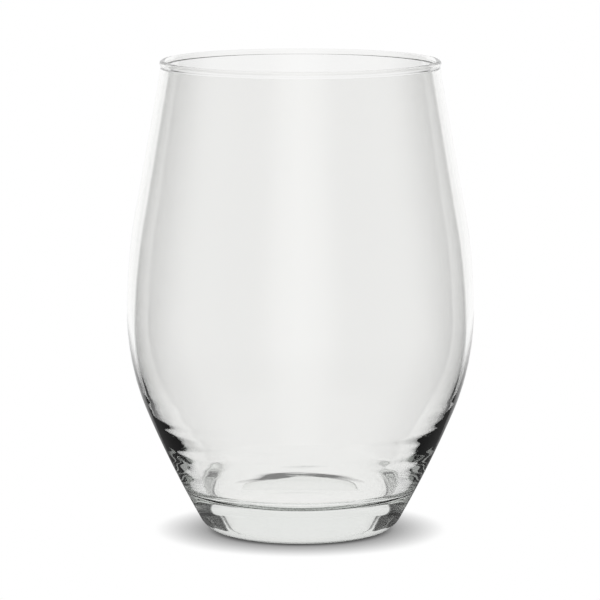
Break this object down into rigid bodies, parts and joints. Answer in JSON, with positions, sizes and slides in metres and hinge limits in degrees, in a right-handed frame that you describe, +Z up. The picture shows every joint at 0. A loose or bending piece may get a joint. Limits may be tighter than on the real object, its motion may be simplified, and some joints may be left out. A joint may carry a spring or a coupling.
{
  "type": "stemless wine glass",
  "caption": "Clear stemless wine glass: a tapered tumbler bowl on a thick rounded base, for serving wine or other drinks.",
  "frame": {"origin": "centre of the foot's bearing ring, on the surface the glass stands on", "axes": "+Z up along the bowl's axis towards the rim; X and Y are free, because the glass is round"},
  "size_m": [0.088, 0.088, 0.12],
  "materials": {
    "glass": "clear, fire-polished and glossy"
  },
  "bodies": {
    "root": {"glass_body": "glass"}
  },
  "joints": []
}
